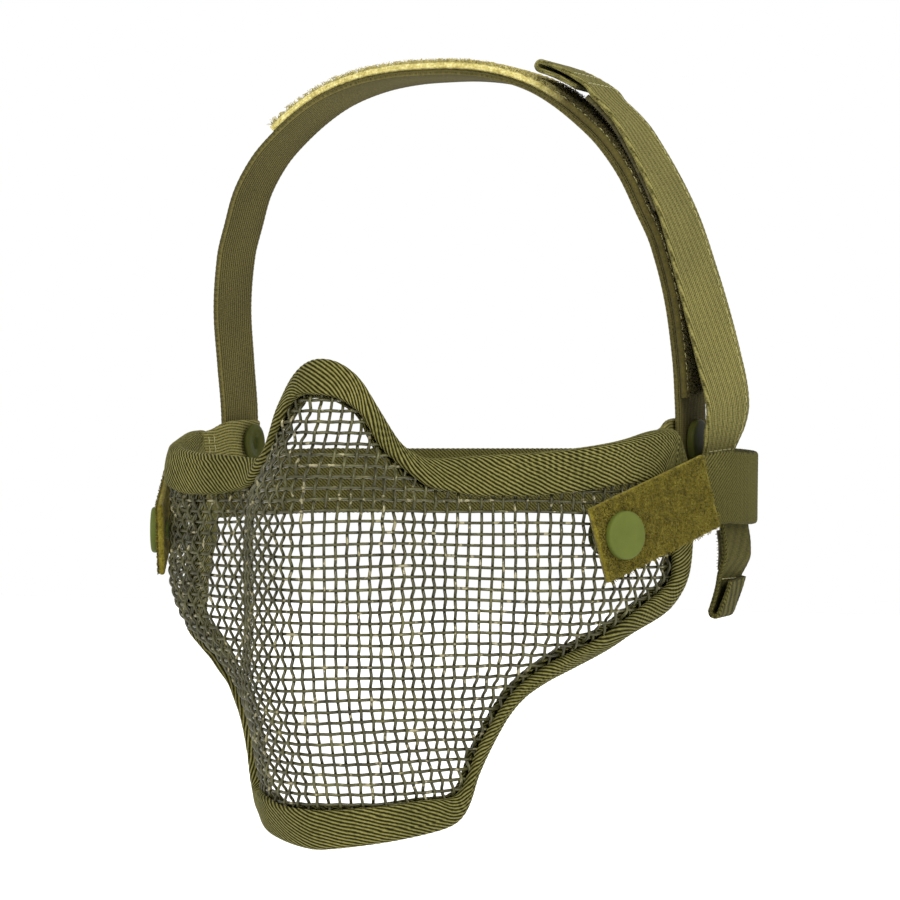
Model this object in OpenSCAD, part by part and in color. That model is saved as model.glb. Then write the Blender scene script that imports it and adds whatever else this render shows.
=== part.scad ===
// Lower-face guard: a formed woven-wire panel with a taped edge, held on the head
// by a crown strap and a neck strap that fasten back on themselves.
// Millimetres, +Z up, the face looks towards -Y, +X is the wearer's left.
// The origin lies midway between the two ear corners, level with them.

/* [Panel] */
// Half of the width across the ear corners
ear_half_width = 72; // [64:1:80]
// Thickness of the woven wire, both layers
wire_panel_t = 2; // [1.2:0.1:2.4]
// How far the rear edge bows backwards between its corners
rear_bow = 0.05; // [0:0.01:0.08]

/* [Edge tape] */
// Thickness of one layer of the edge tape
tape_t = 1.2; // [0.8:0.1:2]
// Width of the tape on the panel at the rear edges
tape_rear_w = 10.5; // [6:0.5:14]

/* [Snaps] */
// Radius of a snap cap
cap_r = 6.2; // [5:0.1:8]
// Thickness of a snap cap
cap_t = 1.8; // [1.2:0.1:3]
// Radius of a snap post
post_r = 2.5; // [2:0.1:3.5]
// Radial clearance of a strap that turns on a snap post
post_play = 0.08; // [0.02:0.01:0.1]
// Radius of a snap stud behind the panel
stud_r = 5.4; // [4.5:0.1:7]
// Thickness of a snap stud
stud_t = 2; // [1.2:0.1:3]

/* [Straps] */
// Width of the crown and neck straps
strap_w = 20; // [16:1:26]
// Thickness of one strap layer
strap_t = 1.6; // [1:0.1:2.4]
// Thickness of the loop pile on the crown strap
pile_t = 2; // [1:0.1:3]
// Thickness of a hook patch
hook_t = 1.4; // [0.8:0.1:2]
// Thickness of the folded hem at a strap's free end
hem_t = 3.6; // [2:0.1:5]

/* [Cheek tabs] */
// Length of a cheek tab in front of its snap
tab_front = 8; // [7:0.5:14]
// Length of a cheek tab behind its snap
tab_rear = 33.5; // [30:0.5:42]
// Slope of a cheek tab, rising to the rear, in degrees
tab_slope = 19; // [0:0.5:30]
// Gap between a cheek tab and the panel or cap beside it
tab_gap = 0.8; // [0.3:0.1:1]

/* [Hidden] */
$fn = 48;

wide = ear_half_width / 72;
panel_half = wire_panel_t / 2;
tape_out = panel_half + tape_t;
tape_grip = 0.05;

// Level, then the section there from the centre ridge to the rear: ridge y, then the
// x and y of six knots, each a sixth of the way further back.
SECTION = [
    [-103, [-69, 15.2, -61, 25, -48.2, 31.5, -37.5, 36, -24.8, 38.5, -11, 40.5, 4]],
    [-84, [-75, 15.8, -66, 26, -52, 32.5, -40.5, 37.5, -27, 40, -12, 42, 4]],
    [-72, [-79, 16.2, -69.5, 27, -54.5, 34.5, -41.5, 39.5, -28, 42, -12, 44, 4]],
    [-62, [-81, 16.8, -71.5, 28.5, -56.5, 37.5, -43.5, 43.5, -29.5, 46, -13, 48, 4]],
    [-55, [-81.3, 16.8, -72, 29.3, -56.8, 42, -44.5, 49, -30.8, 52.5, -12.5, 55, 4]],
    [-47, [-81.5, 16.8, -72, 29.3, -56.6, 46, -46.5, 57.5, -34, 62.5, -15, 65.5, 4]],
    [-36, [-81.5, 16.8, -72, 29.3, -56.6, 46.7, -47, 62, -35, 69, -15.5, 71.5, 4]],
    [-22, [-81.5, 16.8, -72, 29.3, -56.6, 46.7, -47, 62, -35, 69, -15.5, 71.5, 4]],
    [-10, [-80.5, 15.5, -71.5, 27.5, -56, 45.5, -47, 62, -35, 69, -15.5, 71.5, 4]],
    [0, [-77, 12.5, -69.5, 22.5, -54.5, 43.5, -47, 61, -34.5, 68, -15.5, 71, 4]],
    [8, [-73.5, 11.5, -66.5, 20.5, -53, 42.5, -46.5, 60.5, -34.5, 68, -15.5, 71, 4]],
    [16, [-70.5, 10.5, -64, 19, -52.5, 42, -46, 60, -34, 67.5, -15.5, 70.5, 4]],
    [26, [-66.5, 9, -61.5, 18, -52, 41, -45, 59, -33, 67, -15, 70, 4]]
];

// Way round the edge from the centre, 0, to the rear, 1: place along the section, level.
TOP_EDGE = [
    [0, [0, 21]], [0.05, [0.05, 20.5]], [0.1, [0.093, 19]], [0.16, [0.145, 15.4]],
    [0.22, [0.2, 8]], [0.27, [0.24, 3]], [0.31, [0.272, -1.2]], [0.35, [0.305, -3.9]],
    [0.4, [0.345, -4.4]], [0.46, [0.4, -3.9]], [0.53, [0.46, -3.4]], [0.6, [0.53, -2.8]],
    [0.68, [0.6, -1.8]], [0.76, [0.67, -0.6]], [0.84, [0.75, 1]], [0.92, [0.84, 3.1]],
    [1, [0.93, 3.6]]
];
LOWER_EDGE = [
    [0, [0, -98.6]], [0.1, [0.095, -97.6]], [0.2, [0.19, -96.4]], [0.3, [0.29, -95]],
    [0.37, [0.352, -93.7]], [0.42, [0.388, -92]], [0.46, [0.413, -89.4]],
    [0.5, [0.434, -85.5]], [0.54, [0.452, -81.3]], [0.59, [0.485, -75.2]],
    [0.64, [0.53, -68.2]], [0.69, [0.58, -62]], [0.74, [0.635, -57.6]],
    [0.79, [0.69, -54.9]], [0.84, [0.745, -51.2]], [0.89, [0.8, -46.2]],
    [0.93, [0.85, -43.3]], [0.965, [0.9, -40.3]], [1, [0.945, -34]]
];
// Width of the tape on the panel round the same two edges.
TOP_TAPE = [[0, 6.8], [0.2, 6.2], [0.4, 5.6], [0.5, 7.2], [0.7, 8.4], [1, 9]];
LOWER_TAPE = [[0, 8.3], [0.3, 6.6], [0.45, 4.4], [0.6, 4.6], [0.8, 5.2], [1, 7]];

cheek_place = 0.705;
cheek_level = -21.6;
ear_snap = [wide * 68.2, 14, 2];
ear_tab_x = 65.8;

// Length along each strap, then its middle line.
CROWN_LINE = [
    [0, [0, 0, 101.3]], [10, [10, 0, 101]], [20, [20, 0, 99.5]], [30.5, [30, 0, 96.3]],
    [39.7, [38, 0, 91.8]], [50, [46, 0, 85.5]], [57.7, [51.5, 0.3, 80]],
    [67.4, [57, 1.2, 72]], [77.3, [61, 3, 63]], [87, [64.5, 5, 54]],
    [101, [67.3, 8, 40]], [116, [68.2, 11.5, 25]], [129, [68.2, 13.6, 12]],
    [139, [68.2, 14, 2]], [148, [68.2, 14, -7]]
];
CROWN_TAIL_LINE = [
    [0, [70.5, 14.8, -6.4]], [4.6, [74.2, 14.8, -3.6]], [12.9, [77.4, 14, 4]],
    [21.3, [79.2, 12.6, 12]], [34.7, [77.6, 9.6, 25]], [57.3, [73.2, 5, 46.6]],
    [76.6, [68, 2, 65]], [98.1, [58.2, 0.3, 84]], [107.1, [52.4, 0, 90.9]],
    [115.3, [46, 0, 96]], [122.7, [39.6, 0, 99.6]], [129.1, [33.6, 0, 101.9]]
];
NECK_LINE = [
    [0, [0, 86, -9]], [28.4, [28, 81.5, -9]], [52.9, [49, 69, -9]], [74.1, [64.5, 54.5, -9]],
    [93, [76, 39.5, -9.6]], [107.7, [81.8, 26, -10.1]], [116.8, [82.9, 17, -10.2]],
    [123.8, [82.6, 10, -10]], [129.4, [81.7, 4.5, -9.8]], [134.5, [80.1, -0.2, -10.2]],
    [139.5, [78, -4.6, -11.3]]
];
NECK_TAIL_LINE = [
    [0, [78, 18.5, -13.5]], [5.5, [78.6, 18.5, -19]], [12.5, [79.3, 19, -26]],
    [20.6, [78.2, 19.5, -34]], [31.3, [74.6, 19, -44]]
];

// Width ways of the straps that twist.
neck_way = [
    [-140, [0.14, -0.3, 0.95]], [-112, [0, 0, 1]], [0, [0, 0, 1]],
    [112, [0, 0, 1]], [140, [-0.14, -0.3, 0.95]]
];
crown_tail_way = [[0, [0, 1, 0]], [30, [0.25, 1, 0]], [80, [0.15, 1, 0]], [130, [0, 1, 0]]];
neck_tail_way = [[0, [0, 1, 0]], [16, [0, 1, 0]], [31, [-0.15, 1, 0]]];

// ---- curves ----

function unit(v) = v / norm(v);

function mirror_x(p) = [-p[0], p[1], p[2]];

function row_at(table, x, i = 0) =
    i >= len(table) - 2 || x < table[i + 1][0] ? i : row_at(table, x, i + 1);

function slope_at(table, i) =
    let (a = max(i - 1, 0), b = min(i + 1, len(table) - 1))
    (table[b][1] - table[a][1]) / (table[b][0] - table[a][0]);

// Smooth curve through the rows of a table, [x, value or vector].
function along(table, x) =
    let (
        i = row_at(table, x),
        h = table[i + 1][0] - table[i][0],
        s = (x - table[i][0]) / h,
        start = slope_at(table, i) * h,
        finish = slope_at(table, i + 1) * h
    )
    (2 * s^3 - 3 * s^2 + 1) * table[i][1] + (s^3 - 2 * s^2 + s) * start
    + (3 * s^2 - 2 * s^3) * table[i + 1][1] + (s^3 - s^2) * finish;

// A line given from the middle to the wearer's left, carried on to the right.
function both_sides(line) = concat(
    [for (i = [len(line) - 1:-1:1]) [-line[i][0], mirror_x(line[i][1])]],
    line
);

// ---- the formed panel ----

function knot(c, k) =
    k < 0 ? [-c[1], c[2]] :
    k == 0 ? [0, c[0]] :
    k > 6 ? 2 * knot(c, 6) - knot(c, 5) :
    [c[2 * k - 1], c[2 * k]];

// The section at a level: t runs from the ridge, 0, to the rear, 1, on either side.
function on_section(t, z) =
    let (
        c = along(SECTION, z),
        i = min(floor(6 * abs(t)), 5),
        f = 6 * abs(t) - i,
        p = [for (k = [i - 1:i + 2]) knot(c, k)],
        q = p[1] + (p[2] - p[0]) * f / 2
            + (2 * p[0] - 5 * p[1] + 4 * p[2] - p[3]) * f^2 / 2
            + (3 * p[1] - p[0] - 3 * p[2] + p[3]) * f^3 / 2
    )
    [sign(t) * wide * q[0], q[1], z];

function section_normal(t, z) =
    unit(cross(
        on_section(t + 0.01, z) - on_section(t - 0.01, z),
        on_section(t, z + 0.5) - on_section(t, z - 0.5)
    ));

// u runs from ear to ear, -1 to 1, and v from the lower edge, 0, to the top edge, 1.
function panel_place(u, v) =
    let (
        a = abs(u),
        low = along(LOWER_EDGE, a),
        high = along(TOP_EDGE, a),
        p = low + (high - low) * v
    )
    [sign(u) * (p[0] + rear_bow * 4 * v * (1 - v) * a^6), p[1]];

function panel_point(u, v, off = 0) =
    let (p = panel_place(u, v))
    on_section(p[0], p[1]) + off * section_normal(p[0], p[1]);

// ---- skins over rings of points ----

// Rings of an even number of points, skinned; a closed run joins its last ring to its first.
module skin(rings, closed = false) {
    count = len(rings);
    m = len(rings[0]);
    sides = [
        for (j = [0:count - (closed ? 1 : 2)], i = [0:m - 1])
            let (a = j * m, b = (j + 1) % count * m, k = (i + 1) % m)
            each [[a + i, b + i, b + k], [a + i, b + k, a + k]]
    ];
    last = (count - 1) * m;
    ends = closed ? [] : [
        for (i = [0:m / 2 - 2])
            each [
                [i, i + 1, m - 2 - i], [i, m - 2 - i, m - 1 - i],
                [last + i, last + m - 2 - i, last + i + 1],
                [last + i, last + m - 1 - i, last + m - 2 - i]
            ]
    ];
    polyhedron(points = [for (r = rings) each r], faces = concat(sides, ends), convexity = 10);
}

// One station of a strap: its middle, way along, width way, sizes and lift off the line.
function strap_ring(p, ahead, across, w, t, lift) =
    let (
        way = unit(across - (across * ahead) * ahead),
        up = cross(way, ahead),
        a = way * w / 2,
        low = up * (lift - t / 2),
        high = up * (lift + t / 2)
    )
    [p + a + high, p + a + low, p - a + low, p - a + high];

// A strap along a line from one length to another. sizes rows are
// [length, [width, thickness, lift]] and across rows are [length, width way].
module strap(line, from, to, sizes, across, steps) {
    rings = [
        for (i = [0:steps])
            let (
                s = from + (to - from) * i / steps,
                ahead = unit(along(line, s + 0.05) - along(line, s - 0.05)),
                size = lookup_sizes(sizes, s)
            )
            strap_ring(along(line, s), ahead, along(across, s), size[0], size[1], size[2])
    ];
    skin(rings);
}

// Straight steps between rows, so that a hem starts and stops sharply.
function lookup_sizes(sizes, s) = [
    for (k = [0:2]) lookup(s, [for (row = sizes) [row[0], row[1][k]]])
];

function same_size(w, t, lift = 0) = [[-999, [w, t, lift]], [999, [w, t, lift]]];

function same_way(v) = [[-999, v], [999, v]];

// ---- frames of the snaps ----

cheek_normal = section_normal(cheek_place, cheek_level);
cheek_out = unit([cheek_normal[0], cheek_normal[1], 0]);
cheek_turn = atan2(cheek_out[1], cheek_out[0]);
tab_lift = panel_half + tab_gap + strap_t / 2;
cheek_snap = on_section(cheek_place, cheek_level) + tab_lift * cheek_out;

// Children are drawn at the left cheek snap: +Z out of the cheek, +X back along the tab.
module at_left_cheek() {
    translate(cheek_snap)
        rotate([0, 0, cheek_turn])
            rotate([tab_slope, 0, 0])
                rotate([90, 0, 90])
                    children();
}

// Children are drawn at the left ear snap, +Z out of the ear.
module at_left_ear() {
    translate(ear_snap)
        rotate([0, 90, 0])
            children();
}

module right_side() {
    mirror([1, 0, 0])
        children();
}

// A domed cap with a post down to depth below the middle of the strap it holds.
module snap_cap(depth) {
    seat = strap_t / 2 + tab_gap;
    rim = cap_t * 0.55;
    translate([0, 0, -depth])
        cylinder(r = post_r, h = depth + seat + 0.2);
    translate([0, 0, seat])
        cylinder(r = cap_r, h = rim);
    translate([0, 0, seat + rim])
        cylinder(r1 = cap_r, r2 = cap_r - 1, h = cap_t - rim);
}

module cheek_snap_cap() {
    color("olivedrab")
        at_left_cheek()
            snap_cap(tab_lift - panel_half - 0.05);
}

module cheek_snap_stud() {
    color("darkolivegreen")
        at_left_cheek()
            translate([0, 0, -tab_lift - panel_half - stud_t - 0.8])
                cylinder(r = stud_r, h = stud_t);
}

module ear_snap_cap() {
    color("darkolivegreen")
        at_left_ear()
            snap_cap(ear_snap[0] - ear_tab_x - strap_t / 2);
}

module ear_snap_stud() {
    color("darkolivegreen")
        at_left_ear()
            translate([0, 0, ear_tab_x - ear_snap[0] - strap_t / 2 - stud_t - 0.1])
                cylinder(r = stud_r, h = stud_t);
}

// ---- panel and tape ----

module wire_panel() {
    columns = 60;
    rows = 20;
    rings = [
        for (i = [0:columns])
            let (u = 2 * i / columns - 1)
            concat(
                [for (j = [0:rows]) panel_point(u, j / rows, -panel_half)],
                [for (j = [rows:-1:0]) panel_point(u, j / rows, panel_half)]
            )
    ];
    color("darkolivegreen")
        skin(rings);
}

// The panel's height, and its reach near the rear edge, which turn tape widths into places.
function panel_height(u) = norm(panel_point(u, 1) - panel_point(u, 0));

rear_inset = tape_rear_w * 0.1 / norm(panel_point(1, 0.5) - panel_point(0.9, 0.5));

function top_inset(u) = along(TOP_TAPE, abs(u)) / panel_height(u);

function lower_inset(u) = along(LOWER_TAPE, abs(u)) / panel_height(u);

// The tape's section at an edge place e, where it reaches in to the place i.
function tape_ring(e, i) =
    let (
        mid = (e + i) / 2,
        grip = panel_half - tape_grip,
        edge = panel_point(e[0], e[1]),
        out = unit(edge - panel_point(mid[0], mid[1])),
        face = panel_point(e[0], e[1], 1) - edge
    )
    [
        panel_point(i[0], i[1], grip),
        panel_point(i[0], i[1], tape_out),
        panel_point(mid[0], mid[1], tape_out),
        edge + tape_out * face,
        edge + 0.7 * tape_out * (face + out),
        edge + tape_out * out,
        edge + 0.7 * tape_out * (out - face),
        edge - tape_out * face,
        panel_point(mid[0], mid[1], -tape_out),
        panel_point(i[0], i[1], -tape_out),
        panel_point(i[0], i[1], -grip),
        panel_point(mid[0], mid[1], -grip),
        edge - grip * face,
        edge + grip * face,
        panel_point(mid[0], mid[1], grip)
    ];

module edge_tape() {
    long = 56;
    short = 10;
    in = 1 - rear_inset;
    over = [
        for (k = [0:long - 1])
            let (u = 1 - 2 * k / long)
            tape_ring([u, 1], [u * in, 1 - top_inset(u)])
    ];
    under = [
        for (k = [0:long - 1])
            let (u = 2 * k / long - 1)
            tape_ring([u, 0], [u * in, lower_inset(u)])
    ];
    function side(u, v) =
        let (low = lower_inset(1), high = 1 - top_inset(1))
        tape_ring([u, v], [u * in, low + (high - low) * v]);
    right = [for (k = [0:short - 1]) side(-1, 1 - k / short)];
    left = [for (k = [0:short - 1]) side(1, k / short)];
    color("olive")
        skin(concat(over, right, under, left), closed = true);
}

// ---- straps ----

module ear_tab() {
    line = [
        [0, [67.2, -9, -1.5]], [6, [66.8, -3, -0.5]], [12, [66.1, 3, 1.4]],
        [19, [ear_tab_x, 10, 2]], [29, [ear_tab_x, 20, 2]]
    ];
    color("olive")
        strap(line, 0, 29, same_size(13, strap_t), same_way([0, 0, 1]), 14);
}

module crown_strap() {
    color("olive")
        difference() {
            strap(
                both_sides(CROWN_LINE), -148, 148,
                same_size(strap_w, strap_t), same_way([0, 1, 0]), 60
            );
            post_hole();
            right_side()
                post_hole();
        }
}

module post_hole() {
    at_left_ear()
        cylinder(r = post_r + post_play, h = 8, center = true);
}

module crown_pile() {
    lift = tape_grip - (strap_t + pile_t) / 2;
    color("darkkhaki")
        strap(
            both_sides(CROWN_LINE), -48, 126,
            same_size(strap_w - 1, pile_t, lift), same_way([0, 1, 0]), 48
        );
}

module crown_tail() {
    sizes = [
        [0, [15, strap_t, 0]], [6, [16, strap_t, 0]], [14, [strap_w, strap_t, 0]],
        [116, [strap_w, strap_t, 0]], [117, [strap_w, hem_t, 0]], [129.1, [strap_w, hem_t, 0]]
    ];
    color("olive")
        strap(CROWN_TAIL_LINE, 0, 129.1, sizes, crown_tail_way, 60);
}

module crown_hook() {
    lift = tape_grip - (strap_t + hook_t) / 2;
    color("darkolivegreen")
        strap(CROWN_TAIL_LINE, 76, 112, same_size(strap_w - 2, hook_t, lift), crown_tail_way, 16);
}

// The tab: a plain strap end with a round hole for the snap post.
module cheek_tab() {
    color("olive")
        at_left_cheek()
            difference() {
                translate([-tab_front, -strap_w / 2, -strap_t / 2])
                    cube([tab_front + tab_rear, strap_w, strap_t]);
                cylinder(r = post_r + post_play, h = 8, center = true);
            }
}

module neck_strap() {
    color("olive")
        strap(
            both_sides(NECK_LINE), -139.5, 139.5,
            same_size(strap_w - 1, strap_t), neck_way, 56
        );
}

module neck_tail() {
    sizes = [
        [0, [strap_w - 1, strap_t, 0]], [20, [strap_w - 1, strap_t, 0]],
        [21, [strap_w, hem_t, 0]], [31.3, [strap_w, hem_t, 0]]
    ];
    color("olive")
        strap(NECK_TAIL_LINE, 0, 31.3, sizes, neck_tail_way, 24);
}

module neck_hook() {
    lift = (strap_t + hook_t) / 2 - tape_grip;
    color("darkolivegreen")
        strap(NECK_TAIL_LINE, 7, 18, same_size(strap_w - 3, hook_t, lift), neck_tail_way, 10);
}

wire_panel();
edge_tape();
cheek_snap_cap();  // cheek_snap_left
right_side() cheek_snap_cap();  // cheek_snap_right
cheek_snap_stud();  // cheek_stud_left
right_side() cheek_snap_stud();  // cheek_stud_right
ear_snap_cap();  // ear_snap_left
right_side() ear_snap_cap();  // ear_snap_right
ear_snap_stud();  // ear_stud_left
right_side() ear_snap_stud();  // ear_stud_right
ear_tab();  // ear_tab_left
right_side() ear_tab();  // ear_tab_right
crown_strap();
crown_pile();
crown_tail();
crown_hook();
cheek_tab();  // cheek_tab_left
right_side() cheek_tab();  // cheek_tab_right
neck_strap();
neck_tail();
neck_hook();
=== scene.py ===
import math

import bpy
import numpy as np
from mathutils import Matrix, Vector


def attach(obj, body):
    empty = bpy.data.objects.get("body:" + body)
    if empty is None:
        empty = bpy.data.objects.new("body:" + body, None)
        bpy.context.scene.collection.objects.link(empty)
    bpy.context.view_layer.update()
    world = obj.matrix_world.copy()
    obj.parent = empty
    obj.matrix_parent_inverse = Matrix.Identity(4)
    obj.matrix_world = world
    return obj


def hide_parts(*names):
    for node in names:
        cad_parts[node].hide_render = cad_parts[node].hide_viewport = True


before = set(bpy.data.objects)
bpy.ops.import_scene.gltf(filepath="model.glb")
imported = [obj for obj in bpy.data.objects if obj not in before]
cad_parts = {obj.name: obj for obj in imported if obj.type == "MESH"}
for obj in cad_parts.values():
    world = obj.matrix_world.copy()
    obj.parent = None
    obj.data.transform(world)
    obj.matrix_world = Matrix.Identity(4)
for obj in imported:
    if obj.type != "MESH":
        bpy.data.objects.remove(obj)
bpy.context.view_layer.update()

# Lengths below are in millimetres, and MM turns them into the frame's metres.
MM = 0.001

# ---- camera ----

VIEW_TURN = math.radians(25)
VIEW_DISTANCE = 900
VIEW_SHIFT = 3.63
VIEW_LENS = 132.8


def add_camera():
    """A camera level with the ear corners, on the wearer's left of the front."""
    data = bpy.data.cameras.new("camera")
    data.lens = VIEW_LENS
    data.sensor_width = 36
    data.clip_start, data.clip_end = 0.05, 30
    camera = bpy.data.objects.new("camera", data)
    bpy.context.scene.collection.objects.link(camera)
    right = Vector((math.cos(VIEW_TURN), math.sin(VIEW_TURN), 0))
    back = Vector((math.sin(VIEW_TURN), -math.cos(VIEW_TURN), 0))
    camera.location = (right * VIEW_SHIFT + back * VIEW_DISTANCE) * MM
    camera.rotation_euler = (math.pi / 2, 0, VIEW_TURN)
    bpy.context.scene.camera = camera


add_camera()

# ---- sizes, as in the part's source ----

PANEL_HALF = 1.0
TAPE_OUT = 2.2
REAR_BOW = 0.05
TAPE_REAR_W = 10.5
REAR_SPAN = 0.1
STRAP_W = 20.0
STRAP_T = 1.6
PILE_T = 2.0
HOOK_T = 1.4
TAB_GAP = 0.8
TAB_FRONT = 8.0
TAB_REAR = 33.5
TAB_SLOPE = math.radians(19)
CHEEK_PLACE = 0.705
CHEEK_LEVEL = -21.6
EAR_SNAP = (68.2, 14.0, 2.0)
EAR_TAB_X = 65.8
CAP_R = 6.2
POST_R = 2.5
STUD_R = 5.4
STUD_H = 2.0

# Level, ridge y, then the x and y of six knots, each a sixth of the way to the rear.
SECTION = [
    (-103, -69, 15.2, -61, 25, -48.2, 31.5, -37.5, 36, -24.8, 38.5, -11, 40.5, 4),
    (-84, -75, 15.8, -66, 26, -52, 32.5, -40.5, 37.5, -27, 40, -12, 42, 4),
    (-72, -79, 16.2, -69.5, 27, -54.5, 34.5, -41.5, 39.5, -28, 42, -12, 44, 4),
    (-62, -81, 16.8, -71.5, 28.5, -56.5, 37.5, -43.5, 43.5, -29.5, 46, -13, 48, 4),
    (-55, -81.3, 16.8, -72, 29.3, -56.8, 42, -44.5, 49, -30.8, 52.5, -12.5, 55, 4),
    (-47, -81.5, 16.8, -72, 29.3, -56.6, 46, -46.5, 57.5, -34, 62.5, -15, 65.5, 4),
    (-36, -81.5, 16.8, -72, 29.3, -56.6, 46.7, -47, 62, -35, 69, -15.5, 71.5, 4),
    (-22, -81.5, 16.8, -72, 29.3, -56.6, 46.7, -47, 62, -35, 69, -15.5, 71.5, 4),
    (-10, -80.5, 15.5, -71.5, 27.5, -56, 45.5, -47, 62, -35, 69, -15.5, 71.5, 4),
    (0, -77, 12.5, -69.5, 22.5, -54.5, 43.5, -47, 61, -34.5, 68, -15.5, 71, 4),
    (8, -73.5, 11.5, -66.5, 20.5, -53, 42.5, -46.5, 60.5, -34.5, 68, -15.5, 71, 4),
    (16, -70.5, 10.5, -64, 19, -52.5, 42, -46, 60, -34, 67.5, -15.5, 70.5, 4),
    (26, -66.5, 9, -61.5, 18, -52, 41, -45, 59, -33, 67, -15, 70, 4),
]

# Way round the edge from the centre to the rear, place along the section, level.
TOP_EDGE = [
    (0, 0, 21), (0.05, 0.05, 20.5), (0.1, 0.093, 19), (0.16, 0.145, 15.4),
    (0.22, 0.2, 8), (0.27, 0.24, 3), (0.31, 0.272, -1.2), (0.35, 0.305, -3.9),
    (0.4, 0.345, -4.4), (0.46, 0.4, -3.9), (0.53, 0.46, -3.4), (0.6, 0.53, -2.8),
    (0.68, 0.6, -1.8), (0.76, 0.67, -0.6), (0.84, 0.75, 1), (0.92, 0.84, 3.1), (1, 0.93, 3.6),
]
LOWER_EDGE = [
    (0, 0, -98.6), (0.1, 0.095, -97.6), (0.2, 0.19, -96.4), (0.3, 0.29, -95),
    (0.37, 0.352, -93.7), (0.42, 0.388, -92), (0.46, 0.413, -89.4), (0.5, 0.434, -85.5),
    (0.54, 0.452, -81.3), (0.59, 0.485, -75.2), (0.64, 0.53, -68.2), (0.69, 0.58, -62),
    (0.74, 0.635, -57.6), (0.79, 0.69, -54.9), (0.84, 0.745, -51.2), (0.89, 0.8, -46.2),
    (0.93, 0.85, -43.3), (0.965, 0.9, -40.3), (1, 0.945, -34),
]
TOP_TAPE = [(0, 6.8), (0.2, 6.2), (0.4, 5.6), (0.5, 7.2), (0.7, 8.4), (1, 9)]
LOWER_TAPE = [(0, 8.3), (0.3, 6.6), (0.45, 4.4), (0.6, 4.6), (0.8, 5.2), (1, 7)]

# Length along each strap, then its middle line.
CROWN_LINE = [
    (0, 0, 0, 101.3), (10, 10, 0, 101), (20, 20, 0, 99.5), (30.5, 30, 0, 96.3),
    (39.7, 38, 0, 91.8), (50, 46, 0, 85.5), (57.7, 51.5, 0.3, 80),
    (67.4, 57, 1.2, 72), (77.3, 61, 3, 63), (87, 64.5, 5, 54), (101, 67.3, 8, 40),
    (116, 68.2, 11.5, 25), (129, 68.2, 13.6, 12), (139, 68.2, 14, 2), (148, 68.2, 14, -7),
]
CROWN_TAIL_LINE = [
    (0, 70.5, 14.8, -6.4), (4.6, 74.2, 14.8, -3.6), (12.9, 77.4, 14, 4),
    (21.3, 79.2, 12.6, 12), (34.7, 77.6, 9.6, 25), (57.3, 73.2, 5, 46.6), (76.6, 68, 2, 65),
    (98.1, 58.2, 0.3, 84), (107.1, 52.4, 0, 90.9), (115.3, 46, 0, 96), (122.7, 39.6, 0, 99.6),
    (129.1, 33.6, 0, 101.9),
]
NECK_LINE = [
    (0, 0, 86, -9), (28.4, 28, 81.5, -9), (52.9, 49, 69, -9), (74.1, 64.5, 54.5, -9),
    (93, 76, 39.5, -9.6), (107.7, 81.8, 26, -10.1), (116.8, 82.9, 17, -10.2),
    (123.8, 82.6, 10, -10), (129.4, 81.7, 4.5, -9.8), (134.5, 80.1, -0.2, -10.2),
    (139.5, 78, -4.6, -11.3),
]
NECK_TAIL_LINE = [
    (0, 78, 18.5, -13.5), (5.5, 78.6, 18.5, -19), (12.5, 79.3, 19, -26),
    (20.6, 78.2, 19.5, -34), (31.3, 74.6, 19, -44),
]
EAR_TAB_LINE = [
    (0, 67.2, -9, -1.5), (6, 66.8, -3, -0.5), (12, 66.1, 3, 1.4),
    (19, EAR_TAB_X, 10, 2), (29, EAR_TAB_X, 20, 2),
]
NECK_WAY = [
    (-140, 0.14, -0.3, 0.95), (-112, 0, 0, 1), (0, 0, 0, 1),
    (112, 0, 0, 1), (140, -0.14, -0.3, 0.95),
]
CROWN_TAIL_WAY = [(0, 0, 1, 0), (30, 0.25, 1, 0), (80, 0.15, 1, 0), (130, 0, 1, 0), (160, 0, 1, 0)]
NECK_TAIL_WAY = [(0, 0, 1, 0), (16, 0, 1, 0), (31, -0.15, 1, 0), (60, -0.15, 1, 0)]

# ---- curves ----


def along(table, x):
    """Smooth curve through the rows (x, value, ...) of a table, at each x."""
    rows = np.array(table, float)
    places, values = rows[:, 0], rows[:, 1:]
    last = len(rows) - 1
    after = np.minimum(np.arange(last + 1) + 1, last)
    before = np.maximum(np.arange(last + 1) - 1, 0)
    slopes = (values[after] - values[before]) / (places[after] - places[before])[:, None]
    x = np.asarray(x, float)
    i = np.clip(np.searchsorted(places, x, side="right") - 1, 0, last - 1)
    step = (places[i + 1] - places[i])[..., None]
    s = (x - places[i])[..., None] / step
    return (
        (2 * s**3 - 3 * s**2 + 1) * values[i]
        + (s**3 - 2 * s**2 + s) * slopes[i] * step
        + (3 * s**2 - 2 * s**3) * values[i + 1]
        + (s**3 - s**2) * slopes[i + 1] * step
    )


def value(table, x):
    """The one value of a two-column table, at each x."""
    return along(table, x)[..., 0]


def steps(table, x):
    """Straight steps between the rows of a table of one value, or the one number given."""
    if not isinstance(table, list):
        return np.full(np.shape(x), float(table))
    rows = np.array(table, float)
    return np.interp(x, rows[:, 0], rows[:, 1])


def unit(v):
    """Vectors with their length made 1."""
    return v / np.maximum(np.linalg.norm(v, axis=-1, keepdims=True), 1e-12)


def both_sides(line):
    """A line given from the middle to the wearer's left, carried on to the right."""
    right = [(-s, -x, y, z) for s, x, y, z in reversed(line[1:])]
    return right + line


def ripple(x, seed, waves=5, longest=30.0):
    """Smooth random wave from -1 to 1 or so, the same for the same seed."""
    rng = np.random.default_rng(seed)
    total = np.zeros_like(np.asarray(x, float))
    for k in range(waves):
        length = longest / (1 + 0.7 * k)
        total += np.sin(2 * np.pi * (x / length + rng.random())) / (1 + 0.5 * k)
    return total / 2.2


# ---- the formed panel ----


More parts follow.
